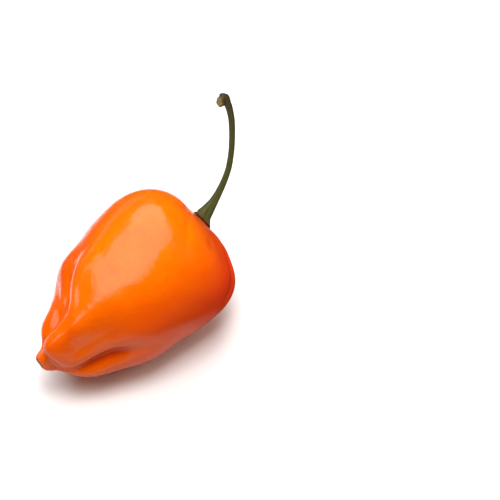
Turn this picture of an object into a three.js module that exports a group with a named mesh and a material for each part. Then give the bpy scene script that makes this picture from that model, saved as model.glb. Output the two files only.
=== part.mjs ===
// A habanero chilli pepper lying on its side: one lobed orange fruit and the green stem it was picked by.
// Millimetres, +Z up. The stem points to +X, the blossom tip to -X, and the fruit rests on the plane z = 0.
// The origin is the middle of the whole pepper's footprint.

import * as THREE from 'three';
import { mergeVertices } from 'three/addons/utils/BufferGeometryUtils.js';

// Fruit: driving dimensions
const fruitTilt = 10;            // degrees that the tip hangs below the stem end
const restDepth = 0.5;           // how far the soft belly flattens where it lies
const fruitRings = 70;
const fruitSides = 80;
const bodyBend = { up: 2.0, front: 1.5 };          // sideways bow of the axis at the tip
const stemEndShift = { back: 2.3, radius: 16 };    // the stem sits off centre on its shoulder
const tipBend = { from: 50, up: 1.2, front: 0.4 };

// Distance along the axis from the stem end, and radius, of the plain body without lobes
const fruitProfile = [
  [0.8, 0], [1.2, 3.0], [1.9, 5.8], [3.2, 9.0], [5.2, 12.6], [8.0, 16.4], [11.6, 18.9], [16.5, 19.9],
  [22.5, 19.8], [28.5, 19.1], [35.5, 17.7], [40.5, 15.6], [45.0, 13.1], [49.2, 10.9], [52.3, 8.8],
  [54.3, 6.6], [55.2, 4.8], [55.9, 3.5], [56.9, 2.8], [57.9, 2.3], [58.7, 1.4], [58.9, 0]
];
const fruitLength = fruitProfile.at(-1)[0];

// Furrows between the lobes. Each station is [u, angle, depth, half width ahead, half width behind]:
// u runs from 0 at the stem to 1 at the tip, and angles are degrees round the axis, 0 on top, 90 in front.
// A ridge has depths below 0. A skew slants the ends of a furrow, in u for each degree away from its middle.
const furrows = {
  upperFold: { skew: 0.003, stations: [
    [0, 318, 0, 24, 24], [0.42, 325, 0.2, 16, 20], [0.53, 326, 0.7, 15, 18], [0.60, 324, 1.4, 15, 16],
    [0.66, 325, 2.7, 17, 13], [0.70, 329, 3.4, 18, 14], [0.74, 337, 3.2, 15, 20], [0.78, 347, 2.7, 12, 30],
    [0.82, 353, 2.8, 11, 36], [0.88, 346, 1.9, 13, 30], [0.94, 338, 0.7, 20, 26], [1, 330, 0, 24, 24]
  ] },
  foldCrest: { stations: [
    [0, 343, 0, 8, 8], [0.50, 343, 0, 8, 8], [0.58, 343, -0.35, 7, 7], [0.66, 349, -0.5, 7, 7],
    [0.73, 362, -0.6, 7, 7], [0.80, 366, -0.6, 8, 8], [0.87, 360, -0.4, 9, 9], [0.93, 350, 0, 9, 9],
    [1, 350, 0, 9, 9]
  ] },
  front: { stations: [
    [0, 96, 0, 16, 16], [0.08, 98, 0.8, 12, 12], [0.20, 101, 1.2, 10, 10], [0.34, 98, 0.5, 14, 14],
    [0.55, 88, 0.5, 14, 14], [0.64, 83, 1.4, 11, 13], [0.72, 82, 2.3, 11, 13], [0.79, 86, 2.4, 11, 13],
    [0.85, 93, 1.6, 12, 14], [0.90, 98, 0.8, 14, 14], [1, 98, 0, 24, 24]
  ] },
  frontShoulder: { stations: [
    [0, 40, 0, 22, 22], [0.42, 36, -0.3, 22, 22], [0.60, 26, -0.6, 20, 20], [0.70, 22, -1.1, 18, 16],
    [0.78, 20, -1.8, 18, 14], [0.84, 18, -1.5, 18, 14], [0.90, 14, -0.6, 18, 16], [0.96, 14, 0, 18, 18],
    [1, 14, 0, 18, 18]
  ] },
  frontHollow: { stations: [
    [0, 52, 0, 22, 22], [0.42, 52, 0.1, 22, 22], [0.60, 52, 0.6, 22, 22], [0.72, 50, 0.8, 22, 20],
    [0.80, 50, 1.0, 22, 20], [0.85, 54, 0.8, 22, 20], [0.91, 54, 0.1, 22, 22], [1, 54, 0, 22, 22]
  ] },
  belly: { stations: [
    [0, 178, 0, 18, 18], [0.10, 178, 1.4, 18, 18], [0.30, 180, 1.2, 16, 16], [0.50, 182, 1.0, 16, 16],
    [0.75, 184, 1.6, 16, 16], [0.88, 184, 1.4, 22, 22], [0.95, 184, 0.5, 22, 22], [1, 184, 0, 22, 22]
  ] },
  back: { stations: [
    [0, 250, 0, 20, 20], [0.10, 250, 1.4, 20, 20], [0.25, 250, 1.2, 18, 18], [0.50, 252, 1.0, 18, 18],
    [0.75, 254, 2.0, 16, 16], [0.88, 256, 1.5, 22, 22], [0.95, 256, 0.5, 22, 22], [1, 256, 0, 22, 22]
  ] }
};
const skewReach = 45;            // degrees from its middle within which a furrow slants
const furrowPower = 1.7;         // above 1 it rounds the furrow's floor, below 2 it keeps it a crease

// Swellings and hollows of single lobes: angle, u, height, half width in degrees, half width in u
const swellings = [
  [108, 0.79, 1.1, 22, 0.10],    // lower front lobe fills out before the tip
  [128, 0.945, 1.0, 34, 0.035],
  [122, 0.60, 0.3, 40, 0.07],
  [30, 0.890, 1.8, 34, 0.045],   // plump end of the front lobe, beside the tip
  [114, 0.19, 2.9, 32, 0.10],    // square front shoulder
  [98, 0.095, 1.1, 36, 0.045],
  [118, 0.48, -0.35, 30, 0.05],
  [320, 0.195, 1.7, 34, 0.10],   // square upper shoulder
  [302, 0.34, 0.35, 34, 0.06],
  [345, 0.085, -0.6, 40, 0.05],  // the slope between that shoulder and the stem
  [290, 0.75, -1.7, 32, 0.10],   // the back lobe is slimmer behind the fold
  [304, 0.82, -1.1, 27, 0.06],
  [284, 0.68, 0.95, 22, 0.045],  // the kink where that lobe starts to narrow
  [296, 0.55, -0.75, 30, 0.07],
  [296, 0.91, -1.2, 30, 0.045]
];
const poleFade = 0.03;           // the relief dies out this near both ends

// Stem: driving dimensions
const stemSides = 20;
const stemRings = 64;
const stemRibs = 5;
const ribHeight = 0.07;          // share of the stem's radius
const calyxGap = 0.3;            // clearance between the calyx and the fruit's skin
const calyxRadius = 2.8;
const calyxLift = 0.5;           // thickness of the calyx at its rim
const calyxWave = 0.07;          // share of its radius, five shallow teeth

// Middle of the stem from the fruit's stem end: it leaves along the axis, bends up and hooks over at its end
const stemRoute = [
  [1.5, 0.5, 0.7], [3.2, 0.8, 1.4], [5.4, 1.2, 2.6], [8.1, 1.9, 4.5], [10.7, 2.7, 7.0], [12.9, 3.8, 9.3],
  [15.1, 5.5, 12.2], [17.2, 7.7, 15.2], [18.9, 9.9, 17.7], [19.9, 11.9, 19.6], [20.2, 13.1, 20.6],
  [20.0, 14.0, 21.1], [19.2, 14.2, 21.3], [18.3, 14.3, 21.6]
];
// Share of the stem's length, and radius there
const stemRadii = [
  [0, 2.05], [0.05, 1.65], [0.12, 1.2], [0.2, 0.97], [0.32, 0.82], [0.5, 0.77], [0.68, 0.78], [0.84, 0.86],
  [0.92, 0.98], [0.96, 1.1], [0.99, 1.3], [1, 1.25]
];
// Small spur on the bend by the cut end: where it is along the stem, its size and the way that it points
const stemSpur = {
  at: 0.955, height: 1.1, length: 0.022, width: 45, toward: new THREE.Vector3(0.27, 0.79, 0.55)
};
const cutEnd = { rounding: 0.2, edgeOut: 0.2, middleOut: 0.12 };

const orange = new THREE.MeshStandardMaterial({ color: 0xf26c05, roughness: 0.22, metalness: 0 });
const green = new THREE.MeshStandardMaterial({ color: 0x566b2a, roughness: 0.6, metalness: 0 });

// The fruit's own directions: along it to the tip, up across it, and out to the front
const tilt = THREE.MathUtils.degToRad(fruitTilt);
const along = new THREE.Vector3(-Math.cos(tilt), 0, -Math.sin(tilt));
const upward = new THREE.Vector3(-Math.sin(tilt), 0, Math.cos(tilt));
const front = new THREE.Vector3(0, -1, 0);

const profileCurve = new THREE.SplineCurve(fruitProfile.map(([a, r]) => new THREE.Vector2(a, r)));
profileCurve.arcLengthDivisions = 2000;

// Slope of a column at one station of a list: level where the column turns back, and at both ends
function slopeAt(rows, k, column) {
  if (k === 0 || k === rows.length - 1) return 0;
  const before = (rows[k][column] - rows[k - 1][column]) / (rows[k][0] - rows[k - 1][0]);
  const after = (rows[k + 1][column] - rows[k][column]) / (rows[k + 1][0] - rows[k][0]);
  return before * after > 0 ? 2 * before * after / (before + after) : 0;
}

// One column of a list whose first column rises, in straight lines or in a smooth curve from row to row
function columnAt(rows, x, column, smooth) {
  let k = 0;
  while (k < rows.length - 2 && x > rows[k + 1][0]) k++;
  const [low, high] = [rows[k][column], rows[k + 1][column]];
  const gap = rows[k + 1][0] - rows[k][0];
  const share = THREE.MathUtils.clamp((x - rows[k][0]) / gap, 0, 1);
  if (!smooth) return THREE.MathUtils.lerp(low, high, share);
  const start = slopeAt(rows, k, column) * gap;
  const end = slopeAt(rows, k + 1, column) * gap;
  const cubic = 2 * (low - high) + start + end;
  return low + share * (start + share * (3 * (high - low) - 2 * start - end + share * cubic));
}

// Signed difference of two angles in degrees, from -180 to 180
function turn(from, to) {
  return THREE.MathUtils.euclideanModulo(to - from + 180, 360) - 180;
}

// Height of the lobed surface over the plain body
function relief(u, angle) {
  let height = 0;
  for (const { skew = 0, stations } of Object.values(furrows)) {
    const away = turn(columnAt(stations, u, 1, true), angle);
    const slant = skew * THREE.MathUtils.clamp(away, -skewReach, skewReach);
    const at = THREE.MathUtils.clamp(u - slant, 0, 1);
    const width = columnAt(stations, at, away > 0 ? 3 : 4, true);
    height -= columnAt(stations, at, 2, true) * Math.exp(-(Math.abs(away / width) ** furrowPower));
  }
  for (const [atAngle, atU, size, wideAngle, wideU] of swellings) {
    height += size * Math.exp(-((turn(atAngle, angle) / wideAngle) ** 2) - ((u - atU) / wideU) ** 2);
  }
  const { smoothstep } = THREE.MathUtils;
  return height * smoothstep(u, 0, poleFade) * smoothstep(1 - u, 0, poleFade);
}

// Point of the fruit's skin
function skinPoint(u, angle) {
  const point = profileCurve.getPointAt(u);
  const run = profileCurve.getTangentAt(u);
  const height = relief(u, angle);
  const a = point.x - run.y * height;
  const r = point.y + run.x * height;
  const turnAngle = THREE.MathUtils.degToRad(angle);
  const bow = THREE.MathUtils.clamp(a / fruitLength, 0, 1.2) ** 2;
  const hook = THREE.MathUtils.clamp((a - tipBend.from) / (fruitLength - tipBend.from), 0, 1.3) ** 1.5;
  const offCentre = a < fruitLength / 3 ? 1 - THREE.MathUtils.smoothstep(r, 0, stemEndShift.radius) : 0;
  return new THREE.Vector3()
    .addScaledVector(along, a)
    .addScaledVector(upward, r * Math.cos(turnAngle) + bow * bodyBend.up + hook * tipBend.up)
    .addScaledVector(front, r * Math.sin(turnAngle) + bow * bodyBend.front + hook * tipBend.front
      - offCentre * stemEndShift.back);
}

// Closed mesh from rings of points, each ring turning from upward to front, with a point at each end
function closedSkin(start, rings, end, outwardAlong) {
  const sides = rings[0].length;
  const points = [start, ...rings.flat(), end];
  const faces = [];
  const face = (a, b, c) => faces.push(...(outwardAlong ? [a, b, c] : [a, c, b]));
  const id = (ring, side) => 1 + ring * sides + (side % sides);
  for (let s = 0; s < sides; s++) {
    face(0, id(0, s), id(0, s + 1));
    for (let k = 0; k < rings.length - 1; k++) {
      face(id(k, s), id(k + 1, s), id(k + 1, s + 1));
      face(id(k, s), id(k + 1, s + 1), id(k, s + 1));
    }
    face(points.length - 1, id(rings.length - 1, s + 1), id(rings.length - 1, s));
  }
  const geometry = new THREE.BufferGeometry();
  geometry.setAttribute('position', new THREE.Float32BufferAttribute(points.flatMap((p) => p.toArray()), 3));
  geometry.setIndex(faces);
  const merged = mergeVertices(geometry, 1e-4);
  merged.computeVertexNormals();
  return merged;
}

function fruitGeometry() {
  const rings = [];
  for (let k = 1; k < fruitRings; k++) {
    rings.push(Array.from({ length: fruitSides }, (_, s) => skinPoint(k / fruitRings, 360 * s / fruitSides)));
  }
  const lowest = Math.min(...rings.flat().map((p) => p.z));
  const floor = lowest + restDepth;
  rings.flat().forEach((p) => { p.z = Math.max(p.z, floor); });
  return closedSkin(skinPoint(0, 0), rings, skinPoint(1, 0), true);
}

// Rings of the calyx, from the middle of its underside out over the shoulder and round its rim
function calyxRings() {
  const outward = along.clone().negate();
  const skinLength = profileCurve.getLength();
  const steps = [                // radius, lift over the fruit's skin
    [0.35, calyxGap], [0.7, calyxGap], [0.96, calyxGap], [1.05, calyxGap + 0.25 * calyxLift],
    [1.03, calyxGap + 0.8 * calyxLift], [0.93, calyxGap + 1.25 * calyxLift]
  ];
  return steps.map(([share, lift]) => Array.from({ length: stemSides }, (_, s) => {
    const angle = 360 * s / stemSides;
    const wave = 1 + calyxWave * Math.cos(THREE.MathUtils.degToRad(stemRibs * angle)) * share;
    return skinPoint(share * calyxRadius * wave / skinLength, angle).addScaledVector(outward, lift);
  }));
}

// Rings across the stem, carried along its route without twist
function stemShaftRings() {
  const base = skinPoint(0, 0);
  const route = new THREE.CatmullRomCurve3(
    stemRoute.map((p) => new THREE.Vector3(...p).add(base)), false, 'catmullrom', 0.5);
  route.arcLengthDivisions = 2000;
  const up = upward.clone();
  const rings = [];
  for (let k = 0; k <= stemRings; k++) {
    const share = k / stemRings;
    const run = route.getTangentAt(share);
    up.addScaledVector(run, -up.dot(run)).normalize();
    const side = new THREE.Vector3().crossVectors(run, up);
    const radius = columnAt(stemRadii, share, 1, false);
    const { at, height, length, width, toward } = stemSpur;
    const spurAngle = THREE.MathUtils.radToDeg(Math.atan2(toward.dot(side), toward.dot(up)));
    rings.push(Array.from({ length: stemSides }, (_, s) => {
      const angle = 360 * s / stemSides;
      const turnAngle = THREE.MathUtils.degToRad(angle);
      const spur = Math.exp(-(((share - at) / length) ** 2) - (turn(spurAngle, angle) / width) ** 2);
      const r = radius * (1 + ribHeight * Math.cos(stemRibs * turnAngle)) + height * spur;
      return route.getPointAt(share).addScaledVector(up, r * Math.cos(turnAngle))
        .addScaledVector(side, r * Math.sin(turnAngle));
    }));
  }
  return rings;
}

// The cut end is rounded at its edge and a little hollow
function stemGeometry() {
  const shaft = stemShaftRings();
  const last = shaft.at(-1);
  const middle = last.reduce((sum, p) => sum.add(p), new THREE.Vector3()).divideScalar(last.length);
  const before = shaft.at(-2).reduce((sum, p) => sum.add(p), new THREE.Vector3()).divideScalar(last.length);
  const run = middle.clone().sub(before).normalize();
  const edge = last.map((p) => p.clone().lerp(middle, cutEnd.rounding).addScaledVector(run, cutEnd.edgeOut));
  const start = skinPoint(0, 0).addScaledVector(along, -calyxGap);
  const end = middle.clone().addScaledVector(run, cutEnd.middleOut);
  return closedSkin(start, [...calyxRings(), ...shaft, edge], end, false);
}

const pod = new THREE.Mesh(fruitGeometry(), orange);
pod.name = 'pod';
const stem = new THREE.Mesh(stemGeometry(), green);
stem.name = 'stem';

const pepper = new THREE.Group();
pepper.add(pod, stem);
const box = new THREE.Box3().setFromObject(pepper);
const middle = box.getCenter(new THREE.Vector3());
pepper.position.set(-middle.x, -middle.y, -box.min.z);

export default pepper;
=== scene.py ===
import math

import bpy
import numpy as np
from mathutils import Matrix, Vector


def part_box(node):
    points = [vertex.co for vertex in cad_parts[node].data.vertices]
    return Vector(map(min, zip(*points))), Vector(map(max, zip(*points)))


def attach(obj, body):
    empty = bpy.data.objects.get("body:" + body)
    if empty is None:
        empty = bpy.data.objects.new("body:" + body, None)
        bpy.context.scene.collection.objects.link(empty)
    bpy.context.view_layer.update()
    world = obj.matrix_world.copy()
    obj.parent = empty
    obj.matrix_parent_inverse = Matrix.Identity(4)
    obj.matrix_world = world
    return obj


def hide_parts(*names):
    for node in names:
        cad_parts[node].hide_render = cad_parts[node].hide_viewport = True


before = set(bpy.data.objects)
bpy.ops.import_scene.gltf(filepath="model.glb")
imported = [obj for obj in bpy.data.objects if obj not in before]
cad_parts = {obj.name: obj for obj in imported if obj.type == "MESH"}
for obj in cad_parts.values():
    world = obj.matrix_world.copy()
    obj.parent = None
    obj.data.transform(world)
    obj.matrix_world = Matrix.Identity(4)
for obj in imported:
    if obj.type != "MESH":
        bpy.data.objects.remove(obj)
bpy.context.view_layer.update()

print("frame loaded:", sorted(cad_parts))

# The habanero's own shape is worked out in millimetres from its stem end, then set down on the CAD pod.
mm = 0.001
curveSamples = 4001              # along each curve, so that shares of its length are even


def smooth(x, low, high):
    t = np.clip((x - low) / (high - low), 0, 1)
    return t * t * (3 - 2 * t)


# signed difference of two angles in degrees
def turn(start, end):
    return (end - start + 180) % 360 - 180


# one column of a list of rows at x, in straight lines or in a curve that turns only where the rows do
def columnAt(rows, x, column, curved=True):
    rows = np.array(rows, float)
    k = np.clip(np.searchsorted(rows[:, 0], x) - 1, 0, len(rows) - 2)
    gaps = np.diff(rows[:, 0])
    share = np.clip((x - rows[k, 0]) / gaps[k], 0, 1)
    low, high = rows[k, column], rows[k + 1, column]
    if not curved:
        return low + (high - low) * share
    slopes = np.diff(rows[:, column]) / gaps
    product = slopes[:-1] * slopes[1:]
    both = np.where(product > 0, slopes[:-1] + slopes[1:], 1)
    slopes = np.concatenate([[0], np.where(product > 0, 2 * product / both, 0), [0]])
    start, end = slopes[k] * gaps[k], slopes[k + 1] * gaps[k]
    cubic = 2 * (low - high) + start + end
    return low + share * (start + share * (3 * (high - low) - 2 * start - end + share * cubic))


# Catmull-Rom curve through points, t from 0 to 1
def throughPoints(points, t):
    points = np.array(points, float)
    last = len(points) - 1
    place = np.clip(t * last, 0, last - 1e-9)
    k = np.floor(place).astype(int)
    w = (place - k)[:, None]
    p0, p1, p2, p3 = (points[np.clip(k + step, 0, last)] for step in (-1, 0, 1, 2))
    v0, v1 = (p2 - p0) / 2, (p3 - p1) / 2
    return (2 * p1 - 2 * p2 + v0 + v1) * w ** 3 + (-3 * p1 + 3 * p2 - 2 * v0 - v1) * w ** 2 + v0 * w + p1


# points and directions at shares of that curve's own length, and the length
def evenly(points, share):
    t = np.linspace(0, 1, curveSamples)
    steps = np.linalg.norm(np.diff(throughPoints(points, t), axis=0), axis=1)
    run = np.concatenate([[0], np.cumsum(steps)])
    at = np.interp(share * run[-1], run, t)
    near = 1e-4
    ahead = throughPoints(points, np.clip(at + near, 0, 1))
    ahead = ahead - throughPoints(points, np.clip(at - near, 0, 1))
    ahead /= np.maximum(np.linalg.norm(ahead, axis=1), 1e-12)[:, None]
    return throughPoints(points, at), ahead, run[-1]


# a UV sphere as the start of a piece, with each vertex's ring and side
def roundMesh(name, sides, rings):
    bpy.ops.object.select_all(action="DESELECT")
    bpy.ops.mesh.primitive_uv_sphere_add(segments=sides, ring_count=rings, radius=1)
    piece = bpy.context.object
    piece.name = piece.data.name = name
    sphere = np.zeros(len(piece.data.vertices) * 3)
    piece.data.vertices.foreach_get("co", sphere)
    sphere = sphere.reshape(-1, 3)
    ring = np.rint(np.arccos(np.clip(sphere[:, 2], -1, 1)) / math.pi * rings).astype(int)
    around = np.degrees(np.arctan2(sphere[:, 1], sphere[:, 0])) % 360
    side = np.rint(around / 360 * sides).astype(int) % sides
    return piece, ring, side


def placeVertices(piece, points):
    piece.data.vertices.foreach_set("co", (points * mm).ravel())
    piece.data.update()
    bpy.context.view_layer.objects.active = piece
    bpy.ops.object.mode_set(mode="EDIT")
    bpy.ops.mesh.select_all(action="SELECT")
    bpy.ops.mesh.normals_make_consistent(inside=False)
    bpy.ops.object.mode_set(mode="OBJECT")
    bpy.ops.object.shade_smooth()


# values or vectors on a piece's points, for its material to read
def keepOnPoints(piece, name, values):
    isVector = values.ndim == 2
    layer = piece.data.attributes.new(name, "FLOAT_VECTOR" if isVector else "FLOAT", "POINT")
    layer.data.foreach_set("vector" if isVector else "value", values.ravel())


def linear(hexColour):
    parts = [int(hexColour[k:k + 2], 16) / 255 for k in (1, 3, 5)]
    return [c / 12.92 if c <= 0.04045 else ((c + 0.055) / 1.055) ** 2.4 for c in parts] + [1]


# adds a node with its settings and links, and gives one of its outputs
def addNode(tree, kind, inputs=None, output=0, **settings):
    node = tree.nodes.new(kind)
    for name, value in settings.items():
        setattr(node, name, value)
    for name, value in (inputs or {}).items():
        if isinstance(value, bpy.types.NodeSocket):
            tree.links.new(value, node.inputs[name])
        else:
            node.inputs[name].default_value = value
    return node.outputs[output] if len(node.outputs) else node


def newMaterial(name):
    material = bpy.data.materials.new(name)
    material.use_nodes = True
    material.node_tree.nodes.clear()
    return material, material.node_tree


pod = {
    "sides": 320,
    "rings": 232,
    "tilt": 10,                   # degrees that the tip hangs below the stem end
    "restDepth": 0.5,             # how far the soft belly flattens where it lies
    "bow": {"up": 2.0, "front": 1.5},
    "stemEndShift": {"back": 2.3, "radius": 16},
    "tipBend": {"from": 50, "up": 1.2, "front": 0.4},
    # distance along the axis from the stem end, and radius, of the plain body without lobes
    "profile": [
        (0.8, 0), (1.2, 3.0), (1.9, 5.8), (3.2, 9.0), (5.2, 12.6), (8.0, 16.4), (11.6, 18.9), (16.5, 19.9),
        (22.5, 19.8), (28.5, 19.1), (35.5, 17.7), (40.5, 15.6), (45.0, 13.1), (49.2, 10.9), (52.3, 8.8),
        (54.3, 6.6), (55.2, 4.8), (55.9, 3.5), (56.9, 2.8), (57.9, 2.3), (58.7, 1.4), (58.9, 0),
    ],
    # each furrow: its slant, in u for a degree away from its middle, and its stations of u, angle, depth,
    # half width ahead and half width behind. u runs from 0 at the stem to 1 at the tip, and angles are
    # degrees round the axis: 0 on top, 90 in front. A ridge has a depth below 0.
    "furrows": {
        "upperFold": (0.003, [
            (0, 318, 0, 24, 24), (0.42, 325, 0.2, 16, 20), (0.53, 326, 0.7, 15, 18),
            (0.60, 324, 1.4, 15, 16), (0.66, 325, 2.7, 17, 13), (0.70, 329, 3.4, 18, 14),
            (0.74, 337, 3.2, 15, 20), (0.78, 347, 2.7, 12, 30), (0.82, 353, 2.8, 11, 36),
            (0.88, 346, 1.9, 13, 30), (0.94, 338, 0.7, 20, 26), (1, 330, 0, 24, 24),
        ]),
        "foldCrest": (0, [
            (0, 343, 0, 8, 8), (0.50, 343, 0, 8, 8), (0.58, 343, -0.35, 7, 7), (0.66, 349, -0.5, 7, 7),
            (0.73, 362, -0.6, 7, 7), (0.80, 366, -0.6, 8, 8), (0.87, 360, -0.4, 9, 9), (0.93, 350, 0, 9, 9),
            (1, 350, 0, 9, 9),
        ]),
        "front": (0, [
            (0, 96, 0, 16, 16), (0.08, 98, 0.8, 12, 12), (0.20, 101, 1.2, 10, 10), (0.34, 98, 0.5, 14, 14),
            (0.55, 88, 0.5, 14, 14), (0.64, 83, 1.4, 11, 13), (0.72, 82, 2.3, 11, 13),
            (0.79, 86, 2.4, 11, 13), (0.85, 93, 1.6, 12, 14), (0.90, 98, 0.8, 14, 14), (1, 98, 0, 24, 24),
        ]),
        "frontShoulder": (0, [
            (0, 40, 0, 22, 22), (0.42, 36, -0.3, 22, 22), (0.60, 26, -0.6, 20, 20),
            (0.70, 22, -1.1, 18, 16), (0.78, 20, -1.8, 18, 14), (0.84, 18, -1.5, 18, 14),
            (0.90, 14, -0.6, 18, 16), (0.96, 14, 0, 18, 18), (1, 14, 0, 18, 18),
        ]),
        "frontHollow": (0, [
            (0, 52, 0, 22, 22), (0.42, 52, 0.1, 22, 22), (0.60, 52, 0.6, 22, 22), (0.72, 50, 0.8, 22, 20),
            (0.80, 50, 1.0, 22, 20), (0.85, 54, 0.8, 22, 20), (0.91, 54, 0.1, 22, 22), (1, 54, 0, 22, 22),
        ]),
        "shoulderCrease": (0, [
            (0, 8, 0, 5, 5), (0.13, 8, 0, 5, 5), (0.20, 10, 0.22, 5, 5), (0.27, 23, 0.26, 5, 5),
            (0.32, 33, 0.22, 5, 5), (0.38, 38, 0, 6, 6), (1, 38, 0, 6, 6),
        ]),
        "belly": (0, [
            (0, 178, 0, 18, 18), (0.10, 178, 1.4, 18, 18), (0.30, 180, 1.2, 16, 16),
            (0.50, 182, 1.0, 16, 16), (0.75, 184, 1.6, 16, 16), (0.88, 184, 1.4, 22, 22),
            (0.95, 184, 0.5, 22, 22), (1, 184, 0, 22, 22),
        ]),
        "back": (0, [
            (0, 250, 0, 20, 20), (0.10, 250, 1.4, 20, 20), (0.25, 250, 1.2, 18, 18),
            (0.50, 252, 1.0, 18, 18), (0.75, 254, 2.0, 16, 16), (0.88, 256, 1.5, 22, 22),
            (0.95, 256, 0.5, 22, 22), (1, 256, 0, 22, 22),
        ]),
    },
    "slantReach": 45,             # degrees from its middle within which a furrow slants
    "furrowPower": 1.7,           # above 1 it rounds the furrow's floor, below 2 it keeps it a crease
    # angle, u, height, half width in degrees, half width in u
    "swellings": [
        (108, 0.79, 1.1, 22, 0.10),    # lower front lobe fills out before the tip
        (128, 0.945, 1.0, 34, 0.035),
        (122, 0.60, 0.3, 40, 0.07),
        (30, 0.890, 1.8, 34, 0.045),   # plump end of the front lobe, beside the tip
        (114, 0.19, 2.9, 32, 0.10),    # square front shoulder
        (98, 0.095, 1.1, 36, 0.045),
        (118, 0.48, -0.35, 30, 0.05),
        (320, 0.195, 1.7, 34, 0.10),   # square upper shoulder
        (302, 0.34, 0.35, 34, 0.06),
        (345, 0.085, -0.6, 40, 0.05),  # the slope between that shoulder and the stem
        (290, 0.75, -1.7, 32, 0.10),   # the back lobe is slimmer behind the fold
        (304, 0.82, -1.1, 27, 0.06),
        (284, 0.68, 0.95, 22, 0.045),  # the kink where that lobe starts to narrow
        (296, 0.55, -0.75, 30, 0.07),
        (296, 0.91, -1.2, 30, 0.045),
    ],
    # soft creases and pads that run out from the stem over the shoulder
    "creases": [
        (31, 0.275, 0.16, 5, 0.030), (12, 0.165, 0.12, 7, 0.025), (47, 0.20, -0.20, 6, 0.045),
        (58, 0.23, 0.10, 6, 0.040), (352, 0.17, -0.18, 7, 0.040), (140, 0.16, -0.35, 7, 0.05),
        (212, 0.17, -0.35, 7, 0.05), (228, 0.20, -0.25, 6, 0.05), (272, 0.18, -0.35, 7, 0.05),
        (290, 0.20, -0.25, 6, 0.05),
    ],
    "poleFade": 0.03,             # the relief dies out this near both ends
    "grain": {"length": 53.07, "radius": 19.9},    # the flecks take the pod as this long and thick, in mm
    "skin": {
        "general": "#e75000",
        "tip": "#e86500", "tipFrom": 0.35, "tipTo": 0.9,
        # painted shade and warm reflection: redder on the flank to the right, beside the stem
        "flankShade": "#f93f00", "flankShadeWay": (0.77, -0.64, 0), "flankShadeFrom": 0.006, "flankShadeTo": 0.028,
        # painted light: yellower on top, where the light falls
        "paintedLightTop": "#f97600", "sunnyFrom": 0.022, "sunnyTo": 0.038,
        # painted shade: deeper red in the front furrow
        "furrowShade": "#cb3a00", "furrowShadeFrom": 0.9, "furrowShadeTo": 2.3,
        "scar": "#6b2d12", "scarFrom": 0.976, "scarTo": 0.986,
        "cloudTint": "#fce7ff", "cloudSize": 7.7,      # sizes and heights are mm
        "fleckTint": "#fdf1ff", "fleckSize": 0.737,
        "waveSize": 5.26, "waveHeight": 0.28,
        "poreSize": 1.05, "poreHeight": 0.022,         # real pores are too fine to show, so these are coarse
        "roughness": (0.15, 0.21), "ior": 1.45,
        "fleshGlow": 0.3, "glowDepth": 3, "glowColours": (1.0, 0.35, 0.08),
    },
}

tilt = math.radians(pod["tilt"])
along = np.array([-math.cos(tilt), 0, -math.sin(tilt)])
upward = np.array([-math.sin(tilt), 0, math.cos(tilt)])
front = np.array([0, -1.0, 0])


def furrowDepth(name, u, angle):
    slant, stations = pod["furrows"][name]
    away = turn(columnAt(stations, u, 1), angle)
    at = np.clip(u - slant * np.clip(away, -pod["slantReach"], pod["slantReach"]), 0, 1)
    width = np.where(away > 0, columnAt(stations, at, 3), columnAt(stations, at, 4))
    return columnAt(stations, at, 2) * np.exp(-np.abs(away / width) ** pod["furrowPower"])


# height of the lobed skin over the plain body
def relief(u, angle):
    height = np.zeros(len(u))
    for name in pod["furrows"]:
        height -= furrowDepth(name, u, angle)
    for atAngle, atU, size, wideAngle, wideU in pod["swellings"] + pod["creases"]:
        height += size * np.exp(-(turn(atAngle, angle) / wideAngle) ** 2 - ((u - atU) / wideU) ** 2)
    return height * smooth(u, 0, pod["poleFade"]) * smooth(1 - u, 0, pod["poleFade"])


def skinPoints(u, angle):
    point, run, _ = evenly(pod["profile"], u)
    length = pod["profile"][-1][0]
    height = relief(u, angle)
    a = point[:, 0] - run[:, 1] * height
    r = point[:, 1] + run[:, 0] * height
    around = np.radians(angle)
    bow = np.clip(a / length, 0, 1.2) ** 2
    bend = pod["tipBend"]
    hook = np.clip((a - bend["from"]) / (length - bend["from"]), 0, 1.3) ** 1.5
    offCentre = np.where(a < length / 3, 1 - smooth(r, 0, pod["stemEndShift"]["radius"]), 0)
    rise = r * np.cos(around) + bow * pod["bow"]["up"] + hook * bend["up"]
    out = r * np.sin(around) + bow * pod["bow"]["front"] + hook * bend["front"]
    out = out - offCentre * pod["stemEndShift"]["back"]
    return a[:, None] * along + rise[:, None] * upward + out[:, None] * front


def makePod():
    piece, ring, side = roundMesh("podSkin", pod["sides"], pod["rings"])
    u, angle = ring / pod["rings"], side * 360 / pod["sides"]
    points = skinPoints(u, angle)
    floorLevel = points[:, 2].min() + pod["restDepth"]
    points[:, 2] = np.maximum(points[:, 2], floorLevel)
    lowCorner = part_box("pod")[0]
    stemEnd = np.array(lowCorner) / mm - points.min(0)
    placeVertices(piece, points + stemEnd)
    around, grain = np.radians(angle), pod["grain"]
    keepOnPoints(piece, "towardTip", u)
    # the front furrow's depth, which lays painted shade into it
    keepOnPoints(piece, "furrowShadeDepth", furrowDepth("front", u, angle))
    keepOnPoints(piece, "grain", np.stack([
        grain["length"] * u, grain["radius"] * np.cos(around), grain["radius"] * np.sin(around)], 1))
    print("pod: box", np.round(points.min(0) + stemEnd, 2), np.round(points.max(0) + stemEnd, 2))
    return piece, stemEnd


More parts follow.
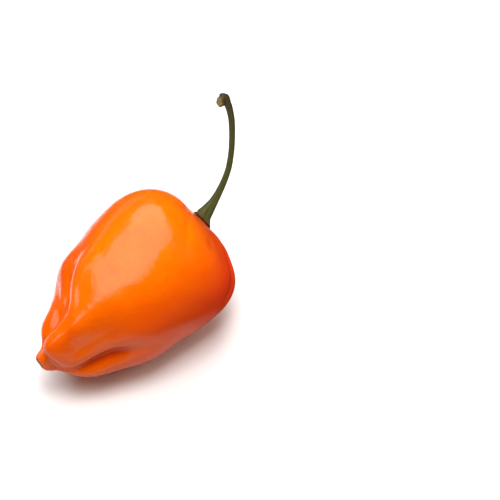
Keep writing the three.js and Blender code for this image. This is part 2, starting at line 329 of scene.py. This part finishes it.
# Fresh pepper skin: a thin wax over orange flesh that lets light in, so it shines but looks soft
def makePepperSkin():
    skin = pod["skin"]
    material, tree = newMaterial("waxyPepperSkin")
    place = addNode(tree, "ShaderNodeTexCoord", output="Object")
    towardTip = addNode(tree, "ShaderNodeAttribute", output="Fac", attribute_name="towardTip")
    furrowShadeDepth = addNode(tree, "ShaderNodeAttribute", output="Fac", attribute_name="furrowShadeDepth")
    grain = addNode(tree, "ShaderNodeAttribute", output="Vector", attribute_name="grain")
    flankShade = addNode(tree, "ShaderNodeVectorMath", {0: place, 1: skin["flankShadeWay"]}, "Value",
                    operation="DOT_PRODUCT")
    height = addNode(tree, "ShaderNodeSeparateXYZ", {0: place}, "Z")
    cloudNoise = addNode(tree, "ShaderNodeTexNoise", {
        "Vector": place, "Scale": 1 / (skin["cloudSize"] * mm), "Detail": 4, "Roughness": 0.6})
    clouds = addNode(tree, "ShaderNodeMapRange", {"Value": cloudNoise, "From Min": 0.3, "From Max": 0.7})
    fleckNoise = addNode(tree, "ShaderNodeTexNoise", {
        "Vector": grain, "Scale": 1 / skin["fleckSize"], "Detail": 3, "Roughness": 0.6})
    flecks = addNode(tree, "ShaderNodeMapRange", {"Value": fleckNoise, "From Min": 0.35, "From Max": 0.75})
    tipShare, flankShadeShare, paintedLightShare, furrowShadeShare, scarShare = (
        addNode(tree, "ShaderNodeMapRange", {
            "Value": value, "From Min": skin[name + "From"], "From Max": skin[name + "To"],
        }, interpolation_type="SMOOTHSTEP")
        for name, value in (("tip", towardTip), ("flankShade", flankShade), ("sunny", height), ("furrowShade", furrowShadeDepth),
                            ("scar", towardTip)))
    # Yellower towards the tip. The redder flank to the right, beside the stem, is painted shade and warm
    # reflection, the yellower top is painted light, and the deep red in the furrow is painted shade.
    # Faint clouds and flecks keep the skin from looking like plastic. The blossom left a brown scar.
    # Inputs 0, 6 and 7 of a mix are its factor and its two colours.
    colour = linear(skin["general"])
    for share, shade, blend in (
            (tipShare, "tip", "MIX"), (flankShadeShare, "flankShade", "MIX"), (paintedLightShare, "paintedLightTop", "MIX"),
            (clouds, "cloudTint", "MULTIPLY"), (flecks, "fleckTint", "MULTIPLY"),
            (furrowShadeShare, "furrowShade", "MIX"), (scarShare, "scar", "MIX")):
        colour = addNode(tree, "ShaderNodeMix", {0: share, 6: colour, 7: linear(skin[shade])}, 2,
                         data_type="RGBA", blend_type=blend)
    low, high = skin["roughness"]
    roughness = addNode(tree, "ShaderNodeMapRange", {"Value": clouds, "To Min": low, "To Max": high})
    waves = addNode(tree, "ShaderNodeTexNoise", {
        "Vector": place, "Scale": 1 / (skin["waveSize"] * mm), "Detail": 3, "Roughness": 0.6})
    pores = addNode(tree, "ShaderNodeTexNoise", {
        "Vector": place, "Scale": 1 / (skin["poreSize"] * mm), "Detail": 2, "Roughness": 0.55})
    normal = addNode(tree, "ShaderNodeBump", {
        "Height": waves, "Distance": skin["waveHeight"] * mm, "Strength": 1})
    normal = addNode(tree, "ShaderNodeBump", {
        "Height": pores, "Distance": skin["poreHeight"] * mm, "Strength": 1, "Normal": normal})
    shader = addNode(tree, "ShaderNodeBsdfPrincipled", {
        "Base Color": colour, "Roughness": roughness, "IOR": skin["ior"], "Normal": normal,
        "Subsurface Weight": skin["fleshGlow"], "Subsurface Radius": skin["glowColours"],
        "Subsurface Scale": skin["glowDepth"] * mm,
    })
    addNode(tree, "ShaderNodeOutputMaterial", {"Surface": shader})
    return material


stem = {
    "sides": 80,
    "shaftRings": 170,
    "ribs": 5,
    "ribHeight": 0.07,            # share of the stem's radius
    "calyxGap": 0.3,              # clearance over the pod's skin
    "calyxRadius": 2.8,
    "calyxLift": 0.5,
    "calyxWave": 0.07,            # share of its radius, five shallow teeth
    # rings of the calyx: share of its radius, and share of its lift
    "calyxRings": [(0.35, 0), (0.7, 0), (0.9, 0), (1.0, 0.04), (1.05, 0.2), (1.06, 0.5), (1.03, 0.8),
                   (0.98, 1.05), (0.91, 1.3)],
    # middle of the stem from the pod's stem end: out along the axis, up, and over at its cut end
    "route": [
        (1.5, 0.5, 0.7), (3.2, 0.8, 1.4), (5.4, 1.2, 2.6), (8.1, 1.9, 4.5), (10.7, 2.7, 7.0),
        (12.9, 3.8, 9.3), (15.1, 5.5, 12.2), (17.2, 7.7, 15.2), (18.9, 9.9, 17.7), (19.9, 11.9, 19.6),
        (20.2, 13.1, 20.6), (20.0, 14.0, 21.1), (19.2, 14.2, 21.3), (18.3, 14.3, 21.6),
    ],
    # share of the stem's length, and radius there
    "radii": [
        (0, 2.05), (0.05, 1.65), (0.12, 1.2), (0.2, 0.97), (0.32, 0.82), (0.5, 0.77), (0.68, 0.78),
        (0.84, 0.86), (0.92, 0.98), (0.96, 1.1), (0.99, 1.3), (1, 1.25),
    ],
    "spur": {"at": 0.955, "height": 1.1, "length": 0.022, "width": 45, "toward": (0.27, 0.79, 0.55)},
    # rings of the cut face: share of the ring before, and how far it stands out
    "cutFace": [(0.93, 0.1), (0.84, 0.2), (0.7, 0.24), (0.5, 0.2), (0.25, 0.14)],
    "cutMiddle": 0.12,
    "rimRings": {"last": 9.5, "fade": 3},    # the calyx's edge, counted from the middle of its underside
    "grain": {"stretch": 0.078, "radius": 0.78},   # fibres are 13 times as long as wide, radius in mm
    "skin": {
        # share of the stem's length, and colour there
        "stops": [
            (0, "#4d5524"), (0.03, "#4c5424"), (0.08, "#4a5122"), (0.20, "#495021"), (0.45, "#4c5224"),
            (0.68, "#484920"), (0.86, "#433d1d"), (0.955, "#40351b"), (0.985, "#5b4a24"), (1, "#a08a52"),
        ],
        "fibreTint": "#cecbc4", "fibreSize": 0.1418,   # sizes are widths in mm
        "patchTint": "#ffddce", "patchSize": 0.624,
        "dryEdge": "#5a2a12", "toothSize": 0.195,
        "ridgeSize": 0.12, "ridgeHeight": 0.12,
        "roughness": 0.52, "specular": 0.35,
    },
}


# rings of points from the middle of the calyx's underside to the cut end
def stemRings():
    angle = np.arange(stem["sides"]) * 360 / stem["sides"]
    skinLength = evenly(pod["profile"], np.zeros(1))[2]
    rings = []
    for share, rise in stem["calyxRings"]:
        wave = 1 + stem["calyxWave"] * np.cos(np.radians(stem["ribs"] * angle)) * share
        height = stem["calyxGap"] + rise * stem["calyxLift"]
        rings.append(skinPoints(share * stem["calyxRadius"] * wave / skinLength, angle) - along * height)
    base = skinPoints(np.zeros(1), np.zeros(1))[0]
    shares = np.linspace(0, 1, stem["shaftRings"])
    middles, runs, _ = evenly(stem["route"], shares)
    up = upward.copy()
    around = np.radians(angle)
    spur = stem["spur"]
    toward = np.array(spur["toward"])
    for share, middle, run in zip(shares, middles, runs):
        up = up - run * (up @ run)
        up = up / np.linalg.norm(up)
        side = np.cross(run, up)
        r = columnAt(stem["radii"], np.array([share]), 1, curved=False)[0]
        r = r * (1 + stem["ribHeight"] * np.cos(stem["ribs"] * around))
        spurAngle = math.degrees(math.atan2(toward @ side, toward @ up))
        r = r + spur["height"] * np.exp(-((share - spur["at"]) / spur["length"]) ** 2
                                        - (turn(spurAngle, angle) / spur["width"]) ** 2)
        rings.append(base + middle + np.outer(r * np.cos(around), up) + np.outer(r * np.sin(around), side))
    last = rings[-1].mean(0)
    run = runs[-1]
    for share, out in stem["cutFace"]:
        rings.append(last + (rings[-1] - rings[-1].mean(0)) * share + run * out)
    return base - along * stem["calyxGap"], rings, last + run * stem["cutMiddle"]


def makeStem(stemEnd):
    start, rings, end = stemRings()
    sides = stem["sides"]
    piece, ring, side = roundMesh("stemGreen", sides, len(rings) + 1)
    grid = np.array([np.repeat(start[None], sides, 0), *rings, np.repeat(end[None], sides, 0)])
    placeVertices(piece, grid[ring, side] + stemEnd)
    run = np.linalg.norm(np.diff(grid.mean(1), axis=0), axis=1)
    run = np.concatenate([[0], np.cumsum(run)])
    around, grain, rim = side * 2 * math.pi / sides, stem["grain"], stem["rimRings"]
    keepOnPoints(piece, "run", run[ring] / run[-1])
    keepOnPoints(piece, "rim", np.clip((rim["last"] - ring) / rim["fade"], 0, 1))
    keepOnPoints(piece, "grain", np.stack([
        grain["stretch"] * run[ring], grain["radius"] * np.cos(around),
        grain["radius"] * np.sin(around)], 1))
    print("stem:", len(rings), "rings")
    return piece


# Green stem: dull ribbed fibres, browner and drier towards the cut end, with a ragged brown calyx edge
def makeStemSkin():
    skin = stem["skin"]
    material, tree = newMaterial("greenStemSkin")
    run = addNode(tree, "ShaderNodeAttribute", output="Fac", attribute_name="run")
    rim = addNode(tree, "ShaderNodeAttribute", output="Fac", attribute_name="rim")
    grain = addNode(tree, "ShaderNodeAttribute", output="Vector", attribute_name="grain")
    green = addNode(tree, "ShaderNodeValToRGB", {0: run})
    elements = green.node.color_ramp.elements
    while len(elements) < len(skin["stops"]):
        elements.new(0.5)
    for element, (at, colour) in zip(elements, skin["stops"]):
        element.position = at
        element.color = linear(colour)
    fibreNoise, patchNoise, edgeNoise, ridges = (
        addNode(tree, "ShaderNodeTexNoise", {
            "Vector": grain, "Scale": 1 / skin[name], "Detail": detail, "Roughness": roughness})
        for name, detail, roughness in (("fibreSize", 4, 0.65), ("patchSize", 3, 0.6),
                                        ("toothSize", 3, 0.6), ("ridgeSize", 3, 0.6)))
    fibres = addNode(tree, "ShaderNodeMapRange", {"Value": fibreNoise, "From Min": 0.3, "From Max": 0.7})
    patches = addNode(tree, "ShaderNodeMapRange", {
        "Value": patchNoise, "From Min": 0.55, "From Max": 0.72}, interpolation_type="SMOOTHSTEP")
    edge = addNode(tree, "ShaderNodeMath", {0: rim, 1: edgeNoise}, operation="ADD")
    edgeShare = addNode(tree, "ShaderNodeMapRange", {
        "Value": edge, "From Min": 1.05, "From Max": 1.4}, interpolation_type="SMOOTHSTEP")
    colour = green
    for share, shade, blend in ((fibres, "fibreTint", "MULTIPLY"), (patches, "patchTint", "MULTIPLY"),
                                (edgeShare, "dryEdge", "MIX")):
        colour = addNode(tree, "ShaderNodeMix", {0: share, 6: colour, 7: linear(skin[shade])}, 2,
                         data_type="RGBA", blend_type=blend)
    normal = addNode(tree, "ShaderNodeBump", {
        "Height": ridges, "Distance": skin["ridgeHeight"] * mm, "Strength": 1})
    shader = addNode(tree, "ShaderNodeBsdfPrincipled", {
        "Base Color": colour, "Roughness": skin["roughness"], "Specular IOR Level": skin["specular"],
        "Normal": normal,
    })
    addNode(tree, "ShaderNodeOutputMaterial", {"Surface": shader})
    return material


view = {
    "azimuth": -40,
    "elevation": 55,
    "distance": 0.6,
    "mmPerPixel": 0.265,          # at the stem end
    "imageSize": 500,
    "stemEndPixel": (209, 224),   # where the pod's axis leaves its stem end in the picture
    "sensor": 36,
}


def makeCamera(stemEnd):
    azimuth, elevation = math.radians(view["azimuth"]), math.radians(view["elevation"])
    back = Vector((math.sin(azimuth) * math.cos(elevation), -math.cos(azimuth) * math.cos(elevation),
                   math.sin(elevation)))
    right = Vector((math.cos(azimuth), math.sin(azimuth), 0))
    up = back.cross(right)
    half, pixelSize = view["imageSize"] / 2, view["mmPerPixel"] * mm
    x, y = ((pixel - half) * pixelSize for pixel in view["stemEndPixel"])
    camera = bpy.data.cameras.new("camera")
    camera.sensor_width = view["sensor"]
    camera.lens = view["sensor"] * view["distance"] / (view["imageSize"] * pixelSize)
    camera.clip_start = 0.01
    stand = bpy.data.objects.new("camera", camera)
    bpy.context.scene.collection.objects.link(stand)
    stand.location = Vector(stemEnd) * mm + back * view["distance"] - right * x + up * y
    stand.rotation_euler = Matrix((right, up, back)).transposed().to_euler()
    bpy.context.scene.camera = stand
    print("camera placed")


# Matt white paper. As black cards beside the set would do, parts of it are dimmed in the pepper's gloss,
# and its bounce is held back a little. Distances are metres over the floor, each where a change starts
# and where it is complete.
paper = {
    "size": 4.0,
    "white": "#f1f1f1",
    "inBounce": "#c7c7c7",
    "inGloss": "#1d1d1d",
    "right": (0.766, -0.643, 0),
    "front": (-0.643, -0.766, 0),
    "dimRight": (0.004, 0.026),
    "dimFar": (0.06, 0.17),
    "dimFront": (-0.015, 0.02),
    "frontShare": 0.45,
    "dimBehind": (0, -0.03),
    "dimBehindFar": (0.05, 0.08),
    "sweep": (0.07, 0.20),        # where the paper runs out into a bright white sweep
}


def makeFloor():
    bpy.ops.object.select_all(action="DESELECT")
    bpy.ops.mesh.primitive_plane_add(size=paper["size"], location=(0, 0, 0))
    floor = bpy.context.object
    floor.name = "floor"
    material, tree = newMaterial("mattPaper")
    place = addNode(tree, "ShaderNodeTexCoord", output="Object")
    toRight, toFront = (
        addNode(tree, "ShaderNodeVectorMath", {0: place, 1: paper[way]}, "Value", operation="DOT_PRODUCT")
        for way in ("right", "front"))
    far = addNode(tree, "ShaderNodeVectorMath", {0: place}, "Value", operation="LENGTH")
    dimRight, dimFar, dimFront, dimBehind, dimBehindFar, sweep = (
        addNode(tree, "ShaderNodeMapRange", {
            "Value": value, "From Min": paper[name][0], "From Max": paper[name][1], "To Max": most,
        }, interpolation_type="SMOOTHSTEP")
        for name, value, most in (("dimRight", toRight, 1), ("dimFar", far, 1),
                                  ("dimFront", toFront, paper["frontShare"]), ("dimBehind", toFront, 1),
                                  ("dimBehindFar", far, 1), ("sweep", far, 1)))
    dimmed = addNode(tree, "ShaderNodeMath", {0: dimBehind, 1: dimBehindFar}, operation="MULTIPLY")
    for part in (dimRight, dimFar, dimFront):
        dimmed = addNode(tree, "ShaderNodeMath", {0: dimmed, 1: part}, operation="MAXIMUM")
    path = addNode(tree, "ShaderNodeLightPath").node
    glossShare, sweepShare = (
        addNode(tree, "ShaderNodeMath", {0: path.outputs[ray], 1: share}, operation="MULTIPLY")
        for ray, share in (("Is Glossy Ray", dimmed), ("Is Camera Ray", sweep)))
    seen = addNode(tree, "ShaderNodeBsdfDiffuse", {"Color": linear(paper["white"])})
    bounce = addNode(tree, "ShaderNodeBsdfDiffuse", {"Color": linear(paper["inBounce"])})
    dark = addNode(tree, "ShaderNodeBsdfDiffuse", {"Color": linear(paper["inGloss"])})
    bright = addNode(tree, "ShaderNodeEmission", {"Color": linear("#ffffff"), "Strength": 1.0})
    for share, shader in ((path.outputs["Is Diffuse Ray"], bounce), (glossShare, dark),
                          (sweepShare, bright)):
        seen = addNode(tree, "ShaderNodeMixShader", {0: share, 1: seen, 2: shader})
    addNode(tree, "ShaderNodeOutputMaterial", {"Surface": seen})
    floor.data.materials.append(material)
    print("floor laid")


lights = {
    "surroundings": 0.02,
    # two panels side by side over the pepper give the long highlight: name, place, width and length
    "softbox": {
        "height": 0.5,
        "turned": -40,
        "radiance": 2.85,
        "panels": [("softbox", (0.2202, 0.4522), (0.57, 0.957)),
                   ("softboxNearEnd", (-0.2006, 0.0130), (0.49, 0.257))],
    },
    # name, place, what it points at, size, watts and colour
    "fills": [
        ("topLight", (0, -0.07, 0.8), (0, 0, 0), (0.34, 0.34), 3.6, "#ffffff"),
        ("sideFill", (0.32, -0.26, 0.4), (0, 0, 0.02), (0.3, 0.3), 0.9, "#ffe2cf"),
        ("tipFill", (-0.54, -0.06, 0.18), (-0.02, 0, 0.01), (0.3, 0.3), 0.4, "#fff0e4"),
    ],
    # a low white card that only shows as a pale rim along the far crests
    "rimCard": ("rimCard", (0.05, 0.9, 0.05), (0, 0, 0.02), (0.9, 0.09), 0.2, "#ffffff"),
}


def addAreaLight(name, place, target, size, watts, colour):
    lamp = bpy.data.lights.new(name, "AREA")
    lamp.shape = "RECTANGLE"
    lamp.size, lamp.size_y = size
    lamp.energy = watts
    lamp.color = linear(colour)[:3]
    stand = bpy.data.objects.new(name, lamp)
    bpy.context.scene.collection.objects.link(stand)
    stand.location = place
    stand.rotation_euler = (Vector(place) - Vector(target)).to_track_quat("Z", "Y").to_euler()
    return stand


def makeLights():
    world = bpy.data.worlds.new("studio")
    world.use_nodes = True
    background = world.node_tree.nodes["Background"]
    background.inputs["Color"].default_value = linear("#ffffff")
    background.inputs["Strength"].default_value = lights["surroundings"]
    bpy.context.scene.world = world
    softbox = lights["softbox"]
    for name, (x, y), (width, length) in softbox["panels"]:
        watts = softbox["radiance"] * math.pi * width * length
        panel = addAreaLight(name, (x, y, softbox["height"]), (x, y, 0), (width, length), watts, "#ffffff")
        panel.rotation_euler = (0, 0, math.radians(softbox["turned"]))
    for fill in lights["fills"]:
        addAreaLight(*fill).visible_glossy = False
    addAreaLight(*lights["rimCard"]).visible_diffuse = False
    print("lights placed")


podPiece, stemEnd = makePod()
stemPiece = makeStem(stemEnd)
podPiece.data.materials.append(makePepperSkin())
stemPiece.data.materials.append(makeStemSkin())
for piece, node, slot in ((podPiece, "pod", "skin"), (stemPiece, "stem", "stem")):
    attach(piece, "root")
    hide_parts(node)
print("skins are on, and the pieces ride on root")

makeCamera(stemEnd)
makeFloor()
makeLights()
bpy.context.scene.view_settings.view_transform = "Standard"
